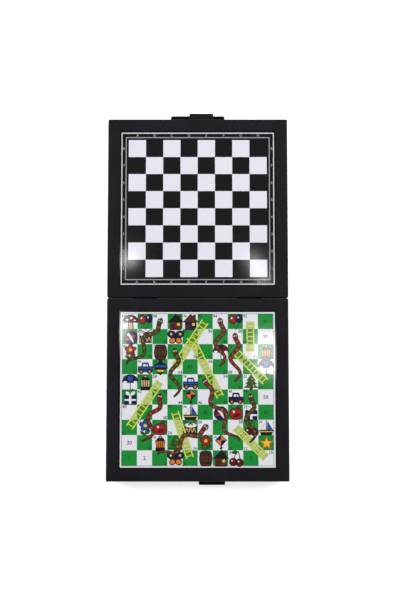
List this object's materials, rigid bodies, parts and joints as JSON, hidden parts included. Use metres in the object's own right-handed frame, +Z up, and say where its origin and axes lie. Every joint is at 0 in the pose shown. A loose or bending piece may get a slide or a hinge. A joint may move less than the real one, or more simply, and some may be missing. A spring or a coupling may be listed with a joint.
{
  "type": "folding game box",
  "caption": "Folding black plastic travel game box, open flat: a chessboard on one half, snakes and ladders on the other, hollow underneath, with a sliding latch.",
  "frame": {"origin": "on the table under the middle of the open box's outline, latch included", "axes": "+X along the hinge line, to the right in the picture; +Y from the snakes-and-ladders half towards the chess half; +Z up"},
  "size_m": [0.13, 0.2694, 0.013],
  "materials": {
    "black_plastic": "satin, fine grain",
    "latch_plastic": "satin",
    "adhesive_film": "matte",
    "tinplate": "bright",
    "chess_print": "gloss laminate",
    "snakes_print": "gloss laminate",
    "pin_steel": "drawn wire"
  },
  "bodies": {
    "chess_half": {"chess_shell": "black_plastic", "chess_adhesive_sheet": "adhesive_film", "chess_steel_sheet": "tinplate", "chess_print_sheet": "chess_print", "hinge_pin_left": "pin_steel", "hinge_pin_right": "pin_steel"},
    "snakes_half": {"snakes_shell": "black_plastic", "snakes_adhesive_sheet": "adhesive_film", "snakes_steel_sheet": "tinplate", "snakes_print_sheet": "snakes_print"},
    "latch": {"latch_slider": "latch_plastic"}
  },
  "joints": [
    {"name": "fold", "type": "hinge", "parent": "chess_half", "child": "snakes_half", "pos_m": [0, -0.00145, 0.003], "axis": [1, 0, 0], "range_deg": [0, 180]},
    {"name": "latch_slide", "type": "slide", "parent": "chess_half", "child": "latch", "axis": [1, 0, 0], "range_m": [-0.0123, 0.0071]}
  ]
}
